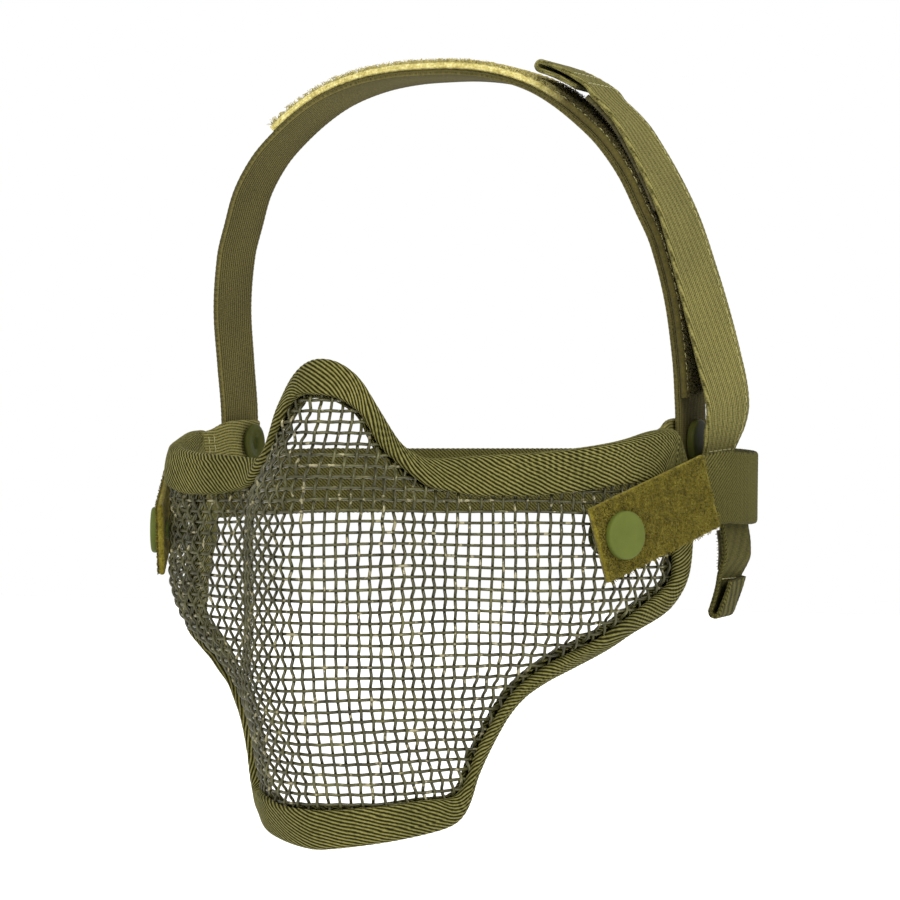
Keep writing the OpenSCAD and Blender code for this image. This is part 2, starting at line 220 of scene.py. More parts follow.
def on_section(t, z):
    """Point on the formed surface at a place t from ear to ear and a level z."""
    t, z = np.broadcast_arrays(np.asarray(t, float), np.asarray(z, float))
    c = along(SECTION, z)
    x = np.stack([-c[..., 1], 0 * z, *(c[..., k] for k in range(1, 12, 2)),
                  2 * c[..., 11] - c[..., 9]], -1)
    y = np.stack([c[..., 2], c[..., 0], *(c[..., k] for k in range(2, 13, 2)),
                  2 * c[..., 12] - c[..., 10]], -1)
    i = np.clip(np.floor(6 * np.abs(t)), 0, 5).astype(int)
    f = 6 * np.abs(t) - i

    def curve(knots):
        a, b, c, d = (np.take_along_axis(knots, (i + k)[..., None], -1)[..., 0] for k in range(4))
        bend = (2 * a - 5 * b + 4 * c - d) * f**2 + (3 * b - a - 3 * c + d) * f**3
        return b + ((c - a) * f + bend) / 2

    return np.stack([np.sign(t) * curve(x), curve(y), z], -1)


def section_normal(t, z):
    """Way the formed surface faces there, away from the wearer."""
    round_it = on_section(t + 0.01, z) - on_section(t - 0.01, z)
    up_it = on_section(t, z + 0.5) - on_section(t, z - 0.5)
    return unit(np.cross(round_it, up_it))


def panel_place(u, v):
    """Place along the section and level, for u from ear to ear and v from the lower edge."""
    u, v = np.broadcast_arrays(np.asarray(u, float), np.asarray(v, float))
    a = np.abs(u)
    low = along(LOWER_EDGE, a)
    high = along(TOP_EDGE, a)
    p = low + (high - low) * v[..., None]
    t = np.sign(u) * (p[..., 0] + REAR_BOW * 4 * v * (1 - v) * a**6)
    return np.stack([t, p[..., 1]], -1)


def panel_point(u, v):
    """Point on the panel, for u from ear to ear and v from the lower edge to the top."""
    p = panel_place(u, v)
    return on_section(p[..., 0], p[..., 1])


def panel_height(u):
    """Straight height of the panel at each u."""
    return np.linalg.norm(panel_point(u, 1) - panel_point(u, 0), axis=-1)


def tape_insets(u):
    """How far the tape reaches in from the top edge and from the lower one, in v."""
    height = panel_height(u)
    return value(TOP_TAPE, np.abs(u)) / height, value(LOWER_TAPE, np.abs(u)) / height


# The rear tape's width as a share of the panel's half, from the length of its last tenth.
REAR_INSET = TAPE_REAR_W * REAR_SPAN / np.linalg.norm(
    panel_point(1, 0.5) - panel_point(1 - REAR_SPAN, 0.5)
)


def edge_loop(count, reach=1.0):
    """Places round the panel's edge, and as far in as reach times the tape's width."""
    u = np.linspace(1, -1, count, endpoint=False)
    v = np.linspace(1, 0, count // 4, endpoint=False)
    top, _ = tape_insets(u)
    _, lower_back = tape_insets(-u)
    ear_top, ear_lower = tape_insets(np.array(1.0))
    side = ear_lower + (1 - ear_top - ear_lower) * v
    side = v + (side - v) * reach
    shrink = 1 - REAR_INSET * reach
    edge = np.concatenate([
        panel_place(u, 1.0), panel_place(-1.0, v), panel_place(-u, 0.0), panel_place(1.0, 1 - v),
    ])
    inner = np.concatenate([
        panel_place(u * shrink, 1 - top * reach),
        panel_place(-shrink, side),
        panel_place(-u * shrink, lower_back * reach),
        panel_place(shrink, side[::-1]),
    ])
    return edge, inner


# ---- meshes ----


def add_mesh(name, points, faces, uv=None):
    """A mesh object from points in millimetres and faces of four or three corners."""
    mesh = bpy.data.meshes.new(name)
    points = np.asarray(points, float).reshape(-1, 3) * MM
    faces = [np.asarray(f, np.int32) for f in (faces if isinstance(faces, list) else [faces])]
    corners = np.concatenate([f.ravel() for f in faces])
    sizes = np.concatenate([np.full(len(f), f.shape[1]) for f in faces])
    starts = np.concatenate([[0], np.cumsum(sizes)[:-1]])
    mesh.vertices.add(len(points))
    mesh.vertices.foreach_set("co", points.ravel())
    mesh.loops.add(len(corners))
    mesh.loops.foreach_set("vertex_index", corners)
    mesh.polygons.add(len(sizes))
    mesh.polygons.foreach_set("loop_start", starts.astype(np.int32))
    mesh.polygons.foreach_set("use_smooth", np.full(len(sizes), True))
    if uv is not None:
        layer = mesh.uv_layers.new(name="cloth")
        layer.data.foreach_set("uv", np.asarray(uv, float).reshape(-1, 2)[corners].ravel())
    mesh.update(calc_edges=True)
    mesh.validate()
    obj = bpy.data.objects.new(name, mesh)
    bpy.context.scene.collection.objects.link(obj)
    return obj


def grid_faces(rows, columns, wrap_columns=False, start=0):
    """Quads over a grid of points kept row after row."""
    j = np.arange(columns if wrap_columns else columns - 1)
    i, j = np.meshgrid(start + columns * np.arange(rows - 1), j, indexing="ij")
    k, m = i + columns, (j + 1) % columns
    return np.stack([i + j, k + j, k + m, i + m], -1).reshape(-1, 4)


def tube_faces(count, rings, sides):
    """Quads over as many alike tubes of that many rings, kept one after another."""
    first = rings * sides * np.arange(count)[:, None, None]
    return (grid_faces(rings, sides, wrap_columns=True)[None] + first).reshape(-1, 4)


def tube_points(path, normal, radius, sides):
    """Rings round a path (..., n, 3), with a normal at each of its points."""
    ahead = unit(np.gradient(path, axis=-2))
    side = unit(np.cross(ahead, normal))
    up = np.cross(side, ahead)
    turn = 2 * np.pi * (np.arange(sides) + 0.5) / sides
    ring = (
        np.cos(turn)[:, None] * side[..., None, :] + np.sin(turn)[:, None] * up[..., None, :]
    )
    return path[..., None, :] + ring * np.asarray(radius)[..., None, None]


def finish_piece(obj, material, body, slot, *nodes):
    """Give a piece its material and the body it rides on, and hide the nodes it replaces. The slot
    is not used.
    """
    obj.data.materials.append(material)
    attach(obj, body)
    if nodes:
        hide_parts(*nodes)
    return obj


# ---- materials ----


class Shader:
    """A node material on one Principled shader, with the settings its sockets start from."""

    def __init__(self, name, **settings):
        self.material = bpy.data.materials.new(name)
        self.material.use_nodes = True
        self.tree = self.material.node_tree
        self.surface = self.tree.nodes["Principled BSDF"]
        for socket, number in settings.items():
            self.surface.inputs[socket.replace("_", " ")].default_value = number

    def node(self, kind, *links, **settings):
        made = self.tree.nodes.new(kind)
        for key, item in settings.items():
            setattr(made, key, item)
        for place, item in enumerate(links):
            self.put(made.inputs[place], item)
        return made

    def put(self, socket, item):
        if item is None:
            return
        if isinstance(item, bpy.types.NodeSocket):
            self.tree.links.new(item, socket)
        else:
            socket.default_value = item

    def math(self, operation, a, b=None):
        return self.node("ShaderNodeMath", a, b, operation=operation).outputs[0]

    def noise(self, scale, detail=2.0, roughness=0.5, where=None):
        made = self.node("ShaderNodeTexNoise")
        self.put(made.inputs["Scale"], scale)
        self.put(made.inputs["Detail"], detail)
        self.put(made.inputs["Roughness"], roughness)
        self.put(made.inputs["Vector"], where if where is not None else self.place())
        return made.outputs["Fac"]

    def place(self):
        """The point on the piece, in metres."""
        return self.node("ShaderNodeTexCoord").outputs["Object"]

    def stretched(self, where, scale, turn=(0, 0, 0)):
        """The given coordinates turned, then scaled each way."""
        return self.node("ShaderNodeMapping", where, (0, 0, 0), turn, scale).outputs[0]

    def span(self, item, low, high, to_low, to_high):
        """A value from low to high spread from to_low to to_high."""
        return self.node("ShaderNodeMapRange", item, low, high, to_low, to_high).outputs[0]

    def sum(self, a, b, share=1.0):
        """One value and a share of another."""
        return self.math("ADD", a, b if share == 1.0 else self.math("MULTIPLY", b, share))

    def cloth(self):
        """The two lengths along and across the cloth, from the piece's UV map."""
        uv = self.node("ShaderNodeUVMap", uv_map="cloth").outputs[0]
        split = self.node("ShaderNodeSeparateXYZ", uv)
        return uv, split.outputs[0], split.outputs[1]

    def ramp(self, factor, *stops):
        made = self.node("ShaderNodeValToRGB", factor)
        ramp = made.color_ramp
        while len(ramp.elements) < len(stops):
            ramp.elements.new(0.5)
        for element, (place, colour) in zip(ramp.elements, stops):
            element.position = place
            element.color = (*colour, 1)
        return made.outputs[0]

    def mix(self, factor, a, b, blend="MIX"):
        made = self.node("ShaderNodeMix", data_type="RGBA", blend_type=blend)
        for name, item in (("Factor_Float", factor), ("A_Color", a), ("B_Color", b)):
            socket = next(s for s in made.inputs if s.identifier == name)
            if isinstance(item, tuple):
                item = (*item, 1)
            self.put(socket, item)
        return next(s for s in made.outputs if s.identifier == "Result_Color")

    def bump(self, height, distance, strength=1.0, under=None):
        made = self.node("ShaderNodeBump")
        self.put(made.inputs["Height"], height)
        made.inputs["Distance"].default_value = distance * MM
        made.inputs["Strength"].default_value = strength
        if under is not None:
            self.put(made.inputs["Normal"], under)
        return made.outputs[0]

    def colour(self, item):
        self.put(self.surface.inputs["Base Color"], item)

    def normal(self, item):
        self.put(self.surface.inputs["Normal"], item)

    def roughness(self, item):
        self.put(self.surface.inputs["Roughness"], item)


def srgb(red, green, blue):
    """A colour given in 0-255 display values."""
    return tuple(
        c / 12.92 if c <= 0.04045 else ((c + 0.055) / 1.055) ** 2.4
        for c in (red / 255, green / 255, blue / 255)
    )


def wire_material():
    """Bronze-olive lacquer on steel wire, with small bright spots that are partly scuffed lacquer
    and partly painted highlight.
    """
    s = Shader("lacquered_wire", Metallic=0.35, IOR=1.5)
    base = s.ramp(
        s.noise(160, 3),
        (0.3, srgb(42, 40, 16)), (0.55, srgb(62, 60, 28)), (0.75, srgb(88, 86, 50)),
    )
    # Painted highlight: the small bright spots stand partly for scuffed lacquer and partly for
    # glints on the wire.
    scuffs_and_highlights = s.math("GREATER_THAN", s.noise(420, 2), 0.64)
    s.colour(s.mix(s.math("MULTIPLY", scuffs_and_highlights, 0.55), base, srgb(160, 152, 116)))
    s.roughness(s.span(s.noise(300, 2), 0.3, 0.7, 0.28, 0.5))
    s.normal(s.bump(s.noise(900, 2), 0.03, 0.5))
    return s.material


def tape_material():
    """Ribbed binding, with painted light on the ribs and painted shade in the grooves between
    them.
    """
    s = Shader("ribbed_tape", Roughness=0.86, IOR=1.45, Specular_IOR_Level=0.1)
    uv, cycles, _ = s.cloth()
    wave = s.math("COSINE", s.math("MULTIPLY", cycles, 2 * math.pi))
    rib = s.sum(0.5, wave, 0.5)
    yarn = s.noise(1, 2, 0.6, s.stretched(uv, (1.5, 1.1, 1)))
    rough_rib = s.sum(rib, s.math("SUBTRACT", yarn, 0.5), 0.9)
    # Painted light and shade: the ramp colours the rib tops light and the grooves between them
    # dark.
    ribs = s.ramp(
        rough_rib,
        (0.05, srgb(18, 16, 3)), (0.35, srgb(50, 47, 15)),
        (0.7, srgb(84, 81, 36)), (0.98, srgb(114, 110, 66)),
    )
    blotch = s.ramp(s.noise(55, 3), (0.3, (0.82, 0.84, 0.8)), (0.7, (1.12, 1.1, 1.08)))
    s.colour(s.mix(1.0, ribs, blotch, "MULTIPLY"))
    fibres = s.bump(s.noise(2400, 2), 0.05, 0.6)
    s.normal(s.bump(yarn, 0.08, 0.5, fibres))
    return s.material


PICK_PITCH = 0.62


def webbing_material(name, dark, light, pitch=0.8, slant=0.14, shade=1.0):
    """Fine twill lines that run along the strap at a slight slant, with painted shade between the
    ridges and painted light on them.
    """
    s = Shader(name, Roughness=0.88, IOR=1.45, Specular_IOR_Level=0.1)
    uv, length, across = s.cloth()
    line = s.sum(across, length, slant)
    wave = s.math("SINE", s.math("MULTIPLY", line, 2 * math.pi / pitch))
    pick = s.math("SINE", s.math("MULTIPLY", length, 2 * math.pi / PICK_PITCH))
    weave = s.sum(s.sum(0.5, wave, 0.34), pick, 0.06)
    speck = s.noise(1, 2, 0.7, s.stretched(uv, (1.3, 2.1, 1)))
    level = s.sum(weave, s.math("SUBTRACT", speck, 0.5), 1.1)
    middle = tuple((a + b) / 2 for a, b in zip(dark, light))
    # Painted light and shade: the ramp colours the ridges light and the hollows between them dark.
    twill = s.ramp(level, (0.0, dark), (0.5, middle), (1.0, light))
    bright = (1.1 * shade, 1.09 * shade, 1.06 * shade)
    blotch = s.ramp(s.noise(45, 3), (0.3, (0.84 * shade,) * 3), (0.7, bright))
    s.colour(s.mix(1.0, twill, blotch, "MULTIPLY"))
    fibres = s.bump(s.noise(2600, 2), 0.04, 0.6)
    s.normal(s.bump(level, 0.12, 0.55, fibres))
    return s.material


# How far to the wearer's left, in metres, the painted shade on the pile under the free end starts
# and becomes full.
TAIL_SHADE_SPAN = (0.030, 0.042)


def loop_material(name, dark, middle, light, shade_colour=None):
    """Brushed loop pile, mottled, and, where a shade colour is given, darkened by painted shade
    where the crown strap's free end lies over it.
    """
    s = Shader(
        name, Roughness=0.95, IOR=1.4, Sheen_Weight=0.05, Sheen_Roughness=0.6,
        Specular_IOR_Level=0.15,
    )
    fine = s.noise(1500, 3, 0.7)
    coarse = s.noise(420, 3, 0.6)
    level = s.sum(s.math("MULTIPLY", fine, 0.6), coarse, 0.4)
    pile = s.ramp(level, (0.34, dark), (0.5, middle), (0.66, light))
    # Painted shade: the pile darkens to a deep olive where the crown strap's free end lies over
    # it.
    if shade_colour is not None:
        split = s.node("ShaderNodeSeparateXYZ", s.place())
        shade_share = s.span(split.outputs[0], *TAIL_SHADE_SPAN, 0.0, 1.0)
        shaded_pile = s.ramp(level, (0.34, tuple(0.5 * c for c in shade_colour)), (0.66, shade_colour))
        pile = s.mix(shade_share, pile, shaded_pile)
    s.colour(pile)
    s.normal(s.bump(fine, 0.25, 0.7))
    return s.material


def cap_material(name, base, light, gloss, ior=1.47):
    """Moulded acetal with a faint mottle and fine rub marks."""
    s = Shader(name, IOR=ior, Specular_IOR_Level=0.18)
    s.colour(s.ramp(s.noise(170, 4, 0.6), (0.3, base), (0.7, light)))
    marks = s.noise(1, 3, 0.6, s.stretched(s.place(), (300, 2600, 2600), (0.3, 0.5, 0.2)))
    s.roughness(s.span(marks, 0.3, 0.7, gloss, gloss + 0.14))
    s.normal(s.bump(s.noise(1500, 3), 0.015, 0.5))
    return s.material


def thread_material(name, colour):
    """Twisted sewing thread, a little uneven in colour."""
    s = Shader(name, Roughness=0.7, IOR=1.45, Sheen_Weight=0.2)
    dark = tuple(c * 0.7 for c in colour)
    s.colour(s.ramp(s.noise(1400, 2), (0.35, dark), (0.65, colour)))
    s.normal(s.bump(s.noise(3000, 1), 0.04, 0.6))
    return s.material


WIRE = wire_material()
TAPE = tape_material()
WEBBING = webbing_material("olive_twill", srgb(38, 35, 8), srgb(126, 120, 70))
ELASTIC = webbing_material("olive_elastic", srgb(34, 30, 8), srgb(110, 102, 58), 1.1, 0.0, 0.86)
BINDING = webbing_material("dark_webbing", srgb(14, 13, 3), srgb(88, 84, 42), 1.0, 0.9)
# The last colour is the painted shade the pile takes under the crown strap's free end.
PILE = loop_material("pale_pile", srgb(122, 110, 52), srgb(178, 166, 98),
                     srgb(218, 208, 150), srgb(78, 70, 28))
LOOP = loop_material("ochre_loop", srgb(60, 52, 8), srgb(98, 88, 20), srgb(128, 117, 44))
HOOK = loop_material("dark_hook", srgb(34, 32, 16), srgb(60, 56, 30), srgb(86, 80, 46))
CAP_OLIVE = cap_material("olive_acetal", srgb(72, 80, 26), srgb(80, 88, 31), 0.6)
CAP_DARK = cap_material("dark_acetal", srgb(48, 50, 20), srgb(58, 60, 26), 0.28, 1.15)
THREAD = thread_material("olive_thread", srgb(146, 140, 86))

# ---- woven wire ----

WIRE_R = 0.42
COLUMN_PITCH = 2.92
DOWN_CRIMP = 0.52
ACROSS_CRIMP = 0.2
# Levels of the rows, counted up from below the chin.
ROW_LEVEL = [(0, -100), (7, -81.6), (14, -63), (21, -43.6), (28, -24), (35, -4.4), (45, 23.6)]
# Level, and how much wider than usual the columns lie there.
COLUMN_SPREAD = [(-103, 0.97), (-72, 0.99), (-48, 1), (26, 1)]

# The levels, places and lengths from the ridge that the wires are looked up by.
LEVELS = np.arange(-104.0, 29.0)
PLACES = np.linspace(0, 1.12, 225)
REACH_STEP = 0.5
REACH = np.arange(0, 165, REACH_STEP)


def lengths(line):
    """Length along a line of points, from its start to each of them."""
    return np.concatenate([[0], np.cumsum(np.linalg.norm(np.diff(line, axis=0), axis=1))])


# Places along the section for each level and each length from the ridge.
REACH_TABLE = np.array([np.interp(REACH, lengths(on_section(PLACES, z)), PLACES) for z in LEVELS])


def place_at(s, z):
    """Place along the section at a length s from the ridge."""
    a = np.clip(np.abs(s) / REACH_STEP, 0, len(REACH) - 1.001)
    b = np.clip(z - LEVELS[0], 0, len(LEVELS) - 1.001)
    i, j = b.astype(int), a.astype(int)
    f, g = b - i, a - j
    low = REACH_TABLE[i, j] * (1 - g) + REACH_TABLE[i, j + 1] * g
    high = REACH_TABLE[i + 1, j] * (1 - g) + REACH_TABLE[i + 1, j + 1] * g
    return np.sign(s) * (low * (1 - f) + high * f)


def weave_place(column, row):
    """Place and level of the crossing of a column and a row, which needn't be whole."""
    z = value(ROW_LEVEL, row)
    z = z + 0.45 * np.sin(0.13 * column + 0.8) + 0.22 * np.sin(0.37 * column + 0.41 * row)
    s = COLUMN_PITCH * (column + 0.45) * value(COLUMN_SPREAD, z)
    s = s + 0.35 * np.sin(0.19 * row + 0.11 * column) + 0.15 * np.sin(0.53 * row + 0.7 * column)
    return place_at(s, z), z


def inside(polygon, t, z):
    """Whether each place lies inside a closed outline of places."""
    t0, z0 = polygon[:, 0], polygon[:, 1]
    t1, z1 = np.roll(t0, -1), np.roll(z0, -1)
    found = np.zeros(t.shape, bool)
    for a, b, c, d in zip(t0, z0, t1, z1):
        if b != d:
            found ^= ((b > z) != (d > z)) & (t < (c - a) * (z - b) / (d - b) + a)
    return found


def runs(mask, least):
    """Start and end of each unbroken run of true values of at least that many."""
    edges = np.flatnonzero(np.diff(np.concatenate([[0], mask.astype(int), [0]])))
    return [(a, b) for a, b in zip(edges[::2], edges[1::2]) if b - a >= least]


WIRE_SIDES = 6
WIRE_JITTER = 0.0006


def wires(name, columns, rows, crimp, phase, outline, seed):
    """Tubes for wires kept inside the outline; each wire is one row of the two grids."""
    rng = np.random.default_rng(seed)
    points, faces, start = [], [], 0
    for column, row in zip(columns, rows):
        t, z = weave_place(column, row)
        height = crimp * np.cos(np.pi * (column + row) + phase)
        t = t + WIRE_JITTER * rng.normal()
        mask = inside(outline, t, z)
        for a, b in runs(mask, 4):
            path = on_section(t[a:b], z[a:b])
            normal = section_normal(t[a:b], z[a:b])
            path = path + normal * height[a:b, None]
            ring = tube_points(path, normal, np.full(b - a, WIRE_R), WIRE_SIDES)
            points.append(ring.reshape(-1, 3))
            faces.append(grid_faces(b - a, WIRE_SIDES, wrap_columns=True, start=start))
            start += (b - a) * WIRE_SIDES
    return add_mesh(name, np.concatenate(points), np.concatenate(faces))


# The wires end this share of the tape's width in from the edge.
WIRE_END = 0.55
COLUMNS = 50
ROWS = 44


def add_panel():
    """The woven panel: wires down over wires across, cut off under the tape."""
    _, outline = edge_loop(240, WIRE_END)
    column, row = np.meshgrid(
        np.arange(-COLUMNS, COLUMNS + 1), np.arange(0, ROWS, 1 / 6), indexing="ij"
    )
    down = wires("wires_down", column, row, DOWN_CRIMP, 0, outline, 3)
    row, column = np.meshgrid(
        np.arange(0, ROWS), np.arange(-COLUMNS, COLUMNS + 0.01, 1 / 5), indexing="ij"
    )
    across = wires("wires_across", column, row, ACROSS_CRIMP, np.pi, outline, 4)
    finish_piece(down, WIRE, "mask", "wire", "wire_panel")
    finish_piece(across, WIRE, "mask", "wire")


# ---- edge tape ----

RIB_PITCH = 0.92
RIB_DEEP = 0.16
TAPE_STEP = 0.55
# Way round the loop, 0 to 4 from the wearer's left ear over the nose and back under the
# chin, and the slant of the ribs there in degrees.
RIB_SLANT = [
    (0, 45), (0.06, 32), (0.2, 33), (0.36, 30), (0.42, 18), (0.5, 38), (0.58, 36), (0.8, 38),
    (0.94, 40), (1, 45), (1.1, 40), (1.5, 20), (2, 18), (2.3, 20), (2.42, 24), (2.58, 24),
    (2.7, 34), (2.85, 44), (3.5, 44), (4, 45),
]
# How far in from the inner line each row of the rolled lip lies, and how far off the surface.
TAPE_LIP = [(0.05, 0.45), (-0.25, 0.9), (-0.3, 1.5), (-0.1, 2.0)]
LIP_SPAN = 9.0
TAPE_ROWS = 27
TAPE_TURNS = 19
# Rows each way in which the nearest place on the edge is looked for, and how many rows
# of the closed ring are repeated past each end of it, which is more than that.
FOOT_SEARCH = 60
WRAP = 80


def smooth_loop(points, reach):
    """A closed line of evenly spaced points with its corners rounded."""
    kernel = np.hanning(2 * reach + 3)[1:-1]
    kernel /= kernel.sum()
    padded = np.concatenate([points[-reach:], points, points[:reach]])
    return np.stack([np.convolve(column, kernel, "valid") for column in padded.T], -1)


def tape_loop():
    """Edge and inner places at even steps round the tape, and the length at each step."""
    edge, inner = edge_loop(2400)
    way = np.concatenate([
        np.linspace(k, k + 1, n, endpoint=False) for k, n in enumerate((2400, 600, 2400, 600))
    ])
    line = on_section(edge[:, 0], edge[:, 1])
    length = lengths(np.concatenate([line, line[:1]]))
    count = int(length[-1] / TAPE_STEP)
    at = np.linspace(0, length[-1], count, endpoint=False)

    def even(values, last):
        values = np.concatenate([values, [last]])
        return np.interp(at, length, values)

    edge = np.stack([even(edge[:, k], edge[0, k]) for k in (0, 1)], -1)
    inner = np.stack([even(inner[:, k], inner[0, k]) for k in (0, 1)], -1)
    edge = smooth_loop(edge, 7)
    inner = smooth_loop(inner, 5)
    return edge, inner, even(way, 4.0), at, length[-1]


def tape_skin(edge, inner, at, total):
    """The folded tape's grid of points, a ring across the tape for each step round it."""
    rim = on_section(edge[:, 0], edge[:, 1])
    middle = on_section(*((edge + inner) / 2).T)
    out, face = unit(rim - middle), section_normal(edge[:, 0], edge[:, 1])
    width = np.linalg.norm(rim - on_section(inner[:, 0], inner[:, 1]), axis=1)
    wander = 0.35 * ripple(at, 5, 6, total / 9)

    def skin(fraction, off, seed):
        """Points at a fraction of the way from the inner line to the edge."""
        place = inner + (edge - inner) * (fraction + (1 - fraction) * wander / width)[:, None]
        base = on_section(place[:, 0], place[:, 1])
        puff = 0.4 * math.sin(math.pi * min(max(fraction, 0), 1)) ** 0.8
        puff = puff * (1 + 0.5 * ripple(at, seed, 6, 40))
        lift = np.sign(off) * (abs(off) + puff)
        return base + section_normal(place[:, 0], place[:, 1]) * lift[:, None]

    flat = np.linspace(0, 1, TAPE_ROWS)
    rows = [skin(shift / LIP_SPAN, off, 8) for shift, off in TAPE_LIP]
    rows += [skin(fraction, TAPE_OUT, 8) for fraction in flat[1:]]
    for angle in np.linspace(0, np.pi, TAPE_TURNS)[1:-1]:
        rows.append(rim + TAPE_OUT * (np.cos(angle) * face + np.sin(angle) * out))
    rows += [skin(fraction, -TAPE_OUT, 9) for fraction in flat[:0:-1]]
    rows += [skin(shift / LIP_SPAN, -off, 9) for shift, off in reversed(TAPE_LIP)]
    return rim, np.stack(rows, 1)


def rib_cycles(rim, points, way, at):
    """How many ribs lie between each point of the tape and its start."""
    count = len(rim)
    # The nearest place on the edge for each point, in rows ahead of its own.
    nearest, foot = np.full(points.shape[:2], np.inf), np.zeros(points.shape[:2])
    for shift in range(-FOOT_SEARCH, FOOT_SEARCH + 1):
        away = ((np.roll(rim, -shift, 0)[:, None] - points) ** 2).sum(-1)
        foot = np.where(away < nearest, shift, foot)
        nearest = np.minimum(nearest, away)
    row = np.arange(count)[:, None] + smooth_loop(foot, 9)
    # The length over the cloth, square to the edge, from the middle of the turn.
    edge_way = unit(np.roll(rim, -1, 0) - np.roll(rim, 1, 0))[:, None]
    step = np.diff(points, axis=1)
    step = np.linalg.norm(step - (step * edge_way).sum(-1)[..., None] * edge_way, axis=-1)
    across = np.cumsum(np.pad(step, ((0, 0), (1, 0))), axis=1)
    across = across - across[:, [points.shape[1] // 2]]
    slant = np.radians(value(RIB_SLANT, way))
    drift = np.cumsum(-np.sin(slant)) * TAPE_STEP
    drift *= round(drift[-1] / RIB_PITCH) * RIB_PITCH / drift[-1]
    wrapped = np.arange(-WRAP, count + WRAP)
    slant = np.interp(row, wrapped, np.concatenate([slant[-WRAP:], slant, slant[:WRAP]]))
    drift = np.concatenate([drift[-WRAP:] - drift[-1], drift, drift[:WRAP] + drift[-1]])
    cycles = (np.interp(row, wrapped, drift) + np.cos(slant) * across) / RIB_PITCH
    return cycles + 0.12 * ripple(at, 11, 6, 18)[:, None]


def add_tape():
    """The ribbed tape folded over the whole edge."""
    edge, inner, way, at, total = tape_loop()
    rim, points = tape_skin(edge, inner, at, total)
    cycles = rib_cycles(rim, points, way, at)
    ridge = 1 - (0.5 - 0.5 * np.cos(2 * np.pi * cycles)) ** 1.6
    normal = unit(np.cross(
        np.roll(points, -1, 0) - np.roll(points, 1, 0), np.gradient(points, axis=1)
    ))
    facing = (normal[:, TAPE_ROWS + 3] * section_normal(edge[:, 0], edge[:, 1])).sum(-1).mean()
    points = points + normal * np.sign(facing) * (RIB_DEEP * (ridge - 0.6))[..., None]
    # The last ring repeats the first, so that the map of the cloth isn't squeezed there.
    points = np.concatenate([points, points[:1]])
    cycles = np.concatenate([cycles, cycles[:1] + round((cycles[-1] - cycles[0]).mean())])
    length = np.broadcast_to(np.append(at, total)[:, None], cycles.shape)
    faces = grid_faces(*points.shape[:2])
    tape = add_mesh("edge_tape_cloth", points, faces, np.stack([cycles, length], -1))
    finish_piece(tape, TAPE, "mask", "tape", "edge_tape")
    flat = (round(polygon_area(points) / total) * MM, total * MM)


def polygon_area(points):
    """Area of a grid of points, in square millimetres."""
    a = points[1:, :-1] - points[:-1, :-1]
    b = points[:-1, 1:] - points[:-1, :-1]
    return np.linalg.norm(np.cross(a, b), axis=-1).sum()


# ---- straps ----

SCALLOP_PITCH = 1.5
# How far the back of a strap lies from its front in the map of the cloth.
BACK_UV = 3 * STRAP_W


class Ribbon:
    """A woven strip along a line; its width and thickness are numbers or tables along it."""

    def __init__(self, line, start, stop, width, thick, way, lift=0.0):
        self.line, self.start, self.stop = line, start, stop
        self.width, self.thick, self.way, self.lift = width, thick, way, lift

    def frame(self, s):
        """Middle, way ahead, way across and way up of the strip at each length."""
        ahead = unit(along(self.line, s + 0.05) - along(self.line, s - 0.05))
        across = along(self.way, s)
        way = unit(across - (across * ahead).sum(-1, keepdims=True) * ahead)
        return along(self.line, s), ahead, way, np.cross(way, ahead)

    def point(self, s, x, side):
        """Points on a face at length s and x from -1 to 1 across."""
        s, x = np.broadcast_arrays(np.asarray(s, float), np.asarray(x, float))
        middle, _, way, up = self.frame(s)
        half = steps(self.width, s) / 2
        lift = self.lift + side * steps(self.thick, s) / 2
        return middle + way * (half * x)[..., None] + up * lift[..., None]

    def cloth(self, name, step, across, rib, deep, scallop):
        """A closed strip with rounded, scalloped selvedges and raised ribs."""
        count = int((self.stop - self.start) / step) + 1
        s = np.linspace(self.start, self.stop, count)[:, None]
        middle, _, way, up = self.frame(s[:, 0])
        half = steps(self.width, s) / 2
        turn = steps(self.thick, s) / 2
        bend = np.linspace(0, np.pi / 2, 4)[:-1]
        over, rise = half - turn + turn * np.cos(bend), turn * np.sin(bend)
        flat = (half - turn) * np.linspace(1, -1, across)
        x_top = np.concatenate([over, flat, -over[:, ::-1]], 1)
        h_top = np.concatenate([rise, turn + 0 * flat, rise[:, ::-1]], 1)
        x_all = np.concatenate([x_top, x_top[:, ::-1]], 1)
        h_all = np.concatenate([h_top, -h_top[:, ::-1]], 1)
        side = np.repeat([1, 0, -1, 0, 1], [3, across, 6, across, 3])
        on_face = side == 0
        pitch, slant = rib
        wave = np.cos(2 * np.pi * (x_all + slant * s) / pitch)
        h_all = h_all + np.sign(h_all) * on_face * deep * (wave - 0.5)
        x_all = x_all + side * scallop * 0.5 * np.cos(2 * np.pi * s / SCALLOP_PITCH)
        lift = (self.lift + h_all)[..., None]
        points = middle[:, None] + way[:, None] * x_all[..., None] + up[:, None] * lift
        m = points.shape[1]
        faces = [grid_faces(count, m, wrap_columns=True)]
        i = np.arange(m // 2 - 1)
        cap = np.stack([i, i + 1, m - 2 - i, m - 1 - i], -1)
        last = (count - 1) * m
        faces += [cap, last + cap[:, ::-1]]
        x_uv = np.where(h_all >= 0, x_all, x_all + BACK_UV)
        uv = np.stack([np.broadcast_to(s, x_uv.shape), x_uv], -1)
        return add_mesh(name, points, np.concatenate(faces), uv)


def fixed_way(*v):
    """A table that holds one way all along."""
    return [(-999, *v), (999, *v)]


